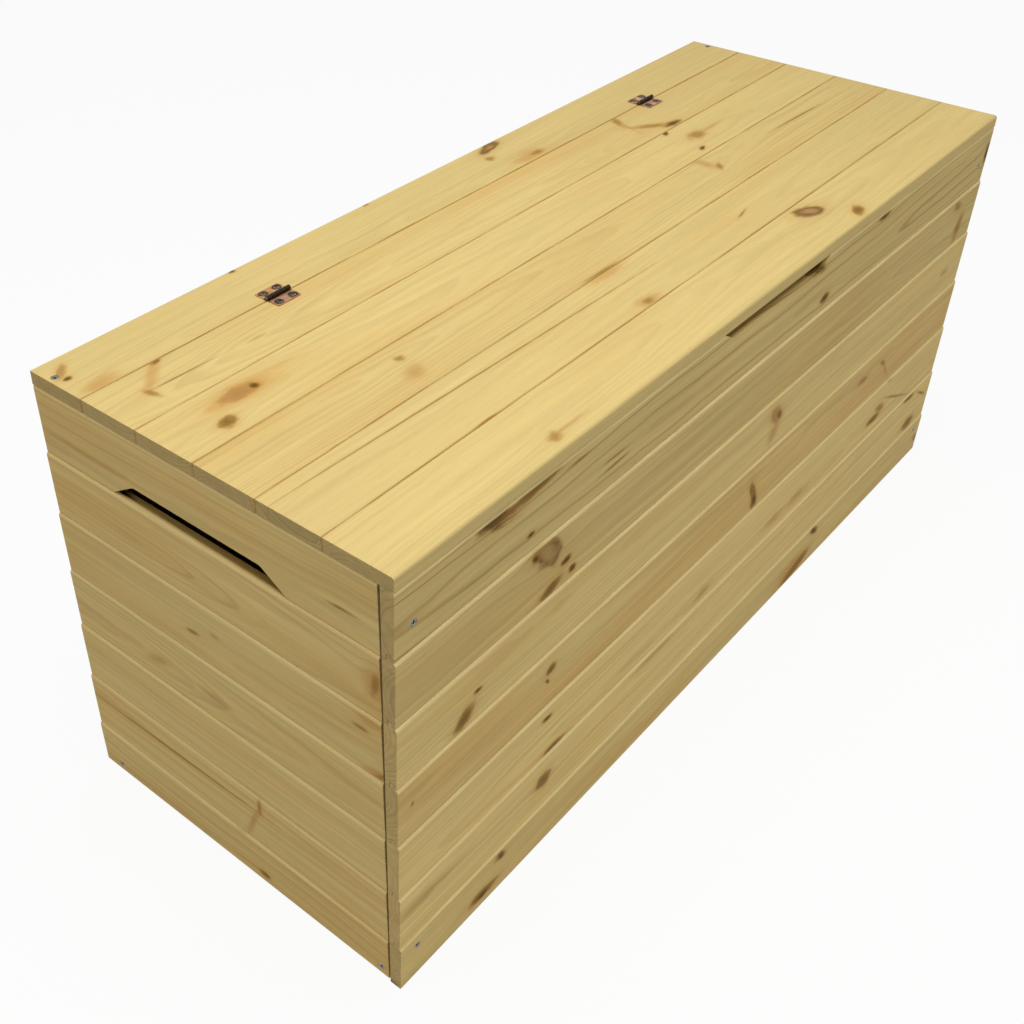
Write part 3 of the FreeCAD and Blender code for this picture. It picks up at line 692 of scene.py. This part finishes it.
boards, boardPine = {}, {}
for wallIndex, (wall, row) in enumerate(boardRows.items()):
    for number in range(1, row["count"] + 1):
        isLast = number == row["count"]
        upper, lower = boardStock["wallUpperRound"], boardStock["wallLowerRound"]
        lap, seams = boardStock["wallLap"], ()
        if wall == "lid":
            upper, lap = boardStock["topRound"], 0
            lower = boardStock["lidFrontRound"] if isLast else boardStock["topRound"]
            seams = (1,) if isLast else (-1, 1)
        seed = grainSeeds["boards"] + grainSeeds["nextRow"] * wallIndex + number
        makeBoard(f"{wall}_board_{number}", seed, row, number > 1, not isLast, upper, lower, lap, seams)
makeBoard("hinge_rail", grainSeeds["rail"], boardRows["lid"], False, False, boardStock["topRound"],
          boardStock["topRound"], seams=(-1,))
print("boards:", len(boards))

# Grips: a trapezium with rounded inner corners, cut from the edge of a board.
handHole = {"mouth": 213 * mm, "inner": 154 * mm, "height": 19 * mm, "round": 10 * mm, "shift": 10 * mm}
fingerNotch = {"mouth": 213 * mm, "inner": 171 * mm, "height": 12 * mm, "round": 8 * mm, "shift": 15 * mm}
ledgeDrop, gripOvercut = 4.3 * mm, 12 * mm
chestLow, chestHigh = (np.array(corner) for corner in cadBounds)
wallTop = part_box("front_board_1")[1].z
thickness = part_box("hinge_rail")[1].z - wallTop
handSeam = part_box("left_board_2")[1].z - boardStock["tongueHeight"]


def gripCutter(size, middle, across, into):
    mouth, inner, height = size["mouth"] / 2, size["inner"] / 2, size["height"]
    loop = roundedLoop([(-mouth, -gripOvercut, 0), (mouth, -gripOvercut, 0), (mouth, 0, 0),
                        (inner, height, size["round"]), (-inner, height, size["round"]), (-mouth, 0, 0)],
                       boardStock["arcSteps"])
    reach = 2 * gripOvercut
    start = middle - np.cross(across, into) * reach
    return carriedProfile("gripCutter", loop, 2 * reach, start, across, into, 0, 0, 0)


# Below a hand hole the tongue goes, and with it a little of the wood behind the front shoulder.
for side, node in ((-1, "left"), (1, "right")):
    edge = np.array([side * chestHigh[0], handHole["shift"], handSeam])
    cutAway(boards[node + "_board_1"], gripCutter(handHole, edge, yAxis, zAxis))
    mouth = handHole["mouth"] / 2
    tongue = roundedLoop([(-mouth, -ledgeDrop, 0), (mouth, -ledgeDrop, 0), (mouth, gripOvercut, 0),
                          (-mouth, gripOvercut, 0)], 1)
    shoulder = (thickness - boardStock["tongueThickness"]) / 2
    reach = 2 * thickness - shoulder
    start = edge - xAxis * (shoulder + reach if side > 0 else -shoulder)
    cutter = carriedProfile("tongueCutter", tongue, reach, start, yAxis, zAxis, 0, 0, 0)
    cutAway(boards[node + "_board_2"], cutter)
notchEdge = np.array([fingerNotch["shift"], chestLow[1], wallTop])
cutAway(boards["front_board_1"], gripCutter(fingerNotch, notchEdge, xAxis, -zAxis))
print("grips cut")

# Countersunk holes for the case screws, where their heads show.
caseScrew = {
    "headRadius": 3.9 * mm, "shankRadius": 2.1 * mm, "sink": 0.3 * mm, "depth": 7 * mm,
    "cornerInset": {"front": 22 * mm, "rear": 28 * mm}, "cornerDrop": 43.5 * mm, "cornerRise": 43 * mm,
    "endInset": 26 * mm, "endLevel": 10 * mm, "railInset": 26 * mm,
}


# How far the leaning face of a wall board stands back at a level.
def leanBack(node, level):
    low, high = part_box(node)
    shoulder = high.z if node.endswith("_1") else high.z - boardStock["tongueHeight"]
    return boardStock["wallLap"] * (shoulder - level) / (shoulder - low.z)


def drill(node, point, inward, back=0):
    head, shank, sink = caseScrew["headRadius"], caseScrew["shankRadius"], caseScrew["sink"]
    outline = [(head, -2 * sink), (head, sink), (shank, sink + head - shank), (shank, caseScrew["depth"])]
    cutAway(boards[node], turned("screwHole", np.array(point) + back * inward, inward, outline))


for side, endName in ((-1, "left"), (1, "right")):
    for facing, wallName in ((-1, "front"), (1, "rear")):
        x, y = side * (chestHigh[0] - caseScrew["cornerInset"][wallName]), facing * chestHigh[1]
        for node, level in ((wallName + "_board_1", wallTop - caseScrew["cornerDrop"]),
                            (wallName + "_board_7", caseScrew["cornerRise"])):
            drill(node, (x, y, level), -facing * yAxis, leanBack(node, level))
        node, level = endName + "_board_7", caseScrew["endLevel"]
        point = (side * chestHigh[0], facing * (chestHigh[1] - caseScrew["endInset"]), level)
        drill(node, point, -side * xAxis, leanBack(node, level))
    point = (side * (chestHigh[0] - thickness / 2), chestHigh[1] - caseScrew["railInset"],
             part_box("hinge_rail")[1].z)
    drill("hinge_rail", point, -zAxis)
for node, piece in boards.items():
    finishPiece(piece, node, boardPine[node])
print("screw holes drilled, boards finished")


# Inner woodwork keeps its CAD shape and gets pine of its own.
def dressNode(node, material):
    mesh = frame["nodes"][node].data
    mesh.materials.clear()
    mesh.materials.append(material)


# Axes along, across and out of each kind.
innerWood = {
    "_post": (zAxis, xAxis, yAxis), "_bearer": (yAxis, zAxis, xAxis),
    "_lid_batten": (yAxis, zAxis, xAxis), "floor_board_": (xAxis, yAxis, zAxis),
}
for index, node in enumerate(sorted(frame["nodes"])):
    for kind, axes in innerWood.items():
        if kind in node:
            corner, size = placeOf(node, axes)
            centre = corner + (size / 2) @ np.array(axes)
            seed = grainSeeds["innerWood"] + index
            marks, grain = boardLook(node, seed, (0, 0), size[0] / mm, size[1] / mm)
            dressNode(node, pineMaterial(node, centre, axes, marks, grain))
print("inner woodwork dressed")

# Metal: plated hinge bronze rubbed bright on its open parts, dark hinge screws, bright zinc screws elsewhere.
metals = {
    "railLeafBronze": {"bright": (0.620, 0.340, 0.120, 1), "dull": (0.360, 0.180, 0.070, 1), "scale": 170,
                       "rough": (0.40, 0.60), "patinaAndShade": True, "nodes": ("rail_leaf",)},
    # The lid leaf is the rail leaf's bronze with pinker colours that are a painted reflection.
    "lidLeafBronzeWithPaintedReflection": {"bright": (0.520, 0.290, 0.170, 1), "dull": (0.340, 0.180, 0.105, 1), "scale": 170,
                      "rough": (0.40, 0.60), "patinaAndShade": True, "nodes": ("lid_leaf",)},
    "hingeScrewBronze": {"bright": (0.230, 0.200, 0.150, 1), "dull": (0.040, 0.026, 0.014, 1), "scale": 420,
                         "rough": (0.35, 0.55), "patinaAndShade": False,
                         "nodes": ("hinge_rail_screws", "hinge_lid_screws", "hinge_pins")},
    "screwZinc": {"bright": (0.330, 0.325, 0.300, 1), "dull": (0.110, 0.105, 0.090, 1), "scale": 500,
                  "rough": (0.30, 0.50), "patinaAndShade": False,
                  "nodes": ("case_screws", "batten_screws", "floor_screws")},
}
metalFinish = {
    "metallic": 0.9, "wornShare": (0.32, 0.62), "scratchScale": 8, "bumpStrength": 0.2,
    "bumpDistance": 0.1 * mm,
}
# Patina round the hinge screws; the darkening along the barrel is partly patina and partly painted shade of
# the knuckles.
patinaAndShade = {
    "colour": (0.035, 0.020, 0.009, 1.0), "hingeMiddle": 318 * mm, "hingeLine": 140 * mm,
    "screwSpacing": 9 * mm, "screwReach": 11 * mm, "screwHalo": (6.2 * mm, 3.8 * mm),
    "barrelPatinaAndShadeHalo": (4.6 * mm, 2.4 * mm), "fray": 3 * mm,
}


# Dark patina that use never rubs off round each hinge screw; along the barrel the darkening is partly patina
# and partly painted shade of the knuckles. Distances come from the object's own place, folded over the
# hinge's middle, so that one formula serves all screws.
def patinaCover(tree, place, rough):
    spot = addNode(tree, "ShaderNodeSeparateXYZ", {0: place}).outputs
    beside = calc(tree, "SUBTRACT", calc(tree, "ABSOLUTE", spot["X"]), patinaAndShade["hingeMiddle"])
    fromBarrel = calc(tree, "ABSOLUTE", calc(tree, "SUBTRACT", spot["Y"], patinaAndShade["hingeLine"]))
    offset = addNode(tree, "ShaderNodeCombineXYZ", {
        "X": calc(tree, "SUBTRACT", calc(tree, "ABSOLUTE", beside), patinaAndShade["screwSpacing"]),
        "Y": calc(tree, "SUBTRACT", fromBarrel, patinaAndShade["screwReach"])}).outputs[0]
    fray = calc(tree, "MULTIPLY", calc(tree, "SUBTRACT", rough, 0.5), patinaAndShade["fray"])
    fromScrew = calcVector(tree, "LENGTH", offset)
    nearScrew = remap(tree, calc(tree, "ADD", fromScrew, fray), *patinaAndShade["screwHalo"])
    # Along the barrel: patina and painted shade of the knuckles.
    barrelPatinaAndShade = remap(tree, calc(tree, "ADD", fromBarrel, fray), *patinaAndShade["barrelPatinaAndShadeHalo"])
    return calc(tree, "MAXIMUM", nearScrew, barrelPatinaAndShade)


for name, metal in metals.items():
    material = bpy.data.materials.new(name)
    material.use_nodes = True
    tree = material.node_tree
    shader = tree.nodes["Principled BSDF"]
    place = addNode(tree, "ShaderNodeTexCoord").outputs["Object"]
    mottle = noise(tree, scaleVector(tree, place, metal["scale"]), 4)
    worn = remap(tree, mottle, *metalFinish["wornShare"])
    colour = blendColour(tree, worn, metal["dull"], metal["bright"])
    if metal["patinaAndShade"]:
        colour = blendColour(tree, patinaCover(tree, place, mottle), colour, patinaAndShade["colour"])
    feed(tree, shader.inputs["Base Color"], colour)
    feed(tree, shader.inputs["Roughness"], remap(tree, worn, 0, 1, metal["rough"][1], metal["rough"][0]))
    scratch = noise(tree, scaleVector(tree, place, metalFinish["scratchScale"] * metal["scale"]), 2)
    bump = addNode(tree, "ShaderNodeBump", {
        "Height": scratch, "Strength": metalFinish["bumpStrength"], "Distance": metalFinish["bumpDistance"]})
    feed(tree, shader.inputs["Normal"], bump.outputs[0])
    shader.inputs["Metallic"].default_value = metalFinish["metallic"]
    for node in frame["nodes"]:
        if node.endswith(metal["nodes"]):
            dressNode(node, material)
print("metal dressed")

# Stage: white floor that keeps a faint shadow, white surroundings, a wide soft lamp overhead.
studio = {
    "floorHalf": 6.0, "floorDrop": 0.2 * mm, "floorSeen": (0.95, 0.95, 0.95, 1),
    "floorBounce": (0.84, 0.84, 0.84, 1), "floorGlow": 0.92, "skyLevel": 0.36, "lampSize": 1.6,
    "lampPower": 27, "lampPlace": (-0.42, -0.20, 2.2), "lampAim": (-0.1, -0.1, 0.45),
}
half, drop = studio["floorHalf"], studio["floorDrop"]
floorMesh = bpy.data.meshes.new("floor")
floorCorners = [(-half, -half, -drop), (half, -half, -drop), (half, half, -drop), (-half, half, -drop)]
floorMesh.from_pydata(floorCorners, [], [(0, 1, 2, 3)])
floor = bpy.data.objects.new("floor", floorMesh)
bpy.context.scene.collection.objects.link(floor)


# 1 for rays that look straight, or through gloss or glass, at the background.
def seenDirectly(tree):
    path = addNode(tree, "ShaderNodeLightPath").outputs
    gloss = calc(tree, "MAXIMUM", path["Is Glossy Ray"], path["Is Transmission Ray"])
    return calc(tree, "MAXIMUM", path["Is Camera Ray"], gloss)


floorPaint = bpy.data.materials.new("floorPaint")
floorPaint.use_nodes = True
tree = floorPaint.node_tree
tree.nodes.clear()
seen = seenDirectly(tree)
floorColour = blendColour(tree, seen, studio["floorBounce"], studio["floorSeen"])
matt = addNode(tree, "ShaderNodeBsdfDiffuse", {"Color": floorColour})
glow = addNode(tree, "ShaderNodeEmission", {"Color": (1, 1, 1, 1), "Strength": 1.0})
share = calc(tree, "MULTIPLY", seen, studio["floorGlow"])
both = addNode(tree, "ShaderNodeMixShader", {0: share, 1: matt.outputs[0], 2: glow.outputs[0]})
addNode(tree, "ShaderNodeOutputMaterial", {"Surface": both.outputs[0]})
floorMesh.materials.append(floorPaint)

world = bpy.data.worlds.new("studioWorld")
bpy.context.scene.world = world
world.use_nodes = True
tree = world.node_tree
sky = tree.nodes["Background"]
sky.inputs["Color"].default_value = (1, 1, 1, 1)
feed(tree, sky.inputs["Strength"], calc(tree, "MAXIMUM", seenDirectly(tree), studio["skyLevel"]))

lamp = bpy.data.lights.new("softLamp", "AREA")
lamp.size, lamp.energy = studio["lampSize"], studio["lampPower"]
lampObject = bpy.data.objects.new("softLamp", lamp)
lampObject.location = studio["lampPlace"]
lampAim = Vector(studio["lampAim"]) - lampObject.location
lampObject.rotation_euler = lampAim.to_track_quat("-Z", "Y").to_euler()
bpy.context.scene.collection.objects.link(lampObject)

# Camera: the picture's own viewpoint, with the part of the wider frame that was kept.
lens = {
    "place": (-1.0765, -0.6863, 1.1169), "turn": (55.243, 0.414, -49.273), "focal": 47.315, "sensor": 36.0,
    "shift": (0.0974, -0.0855),
}
camera = bpy.data.cameras.new("camera")
camera.lens, camera.sensor_width = lens["focal"], lens["sensor"]
camera.shift_x, camera.shift_y = lens["shift"]
cameraObject = bpy.data.objects.new("camera", camera)
cameraObject.location = lens["place"]
cameraObject.rotation_euler = [math.radians(angle) for angle in lens["turn"]]
bpy.context.scene.collection.objects.link(cameraObject)
bpy.context.scene.camera = cameraObject
bpy.context.scene.view_settings.view_transform = "Standard"

print("scene ready")
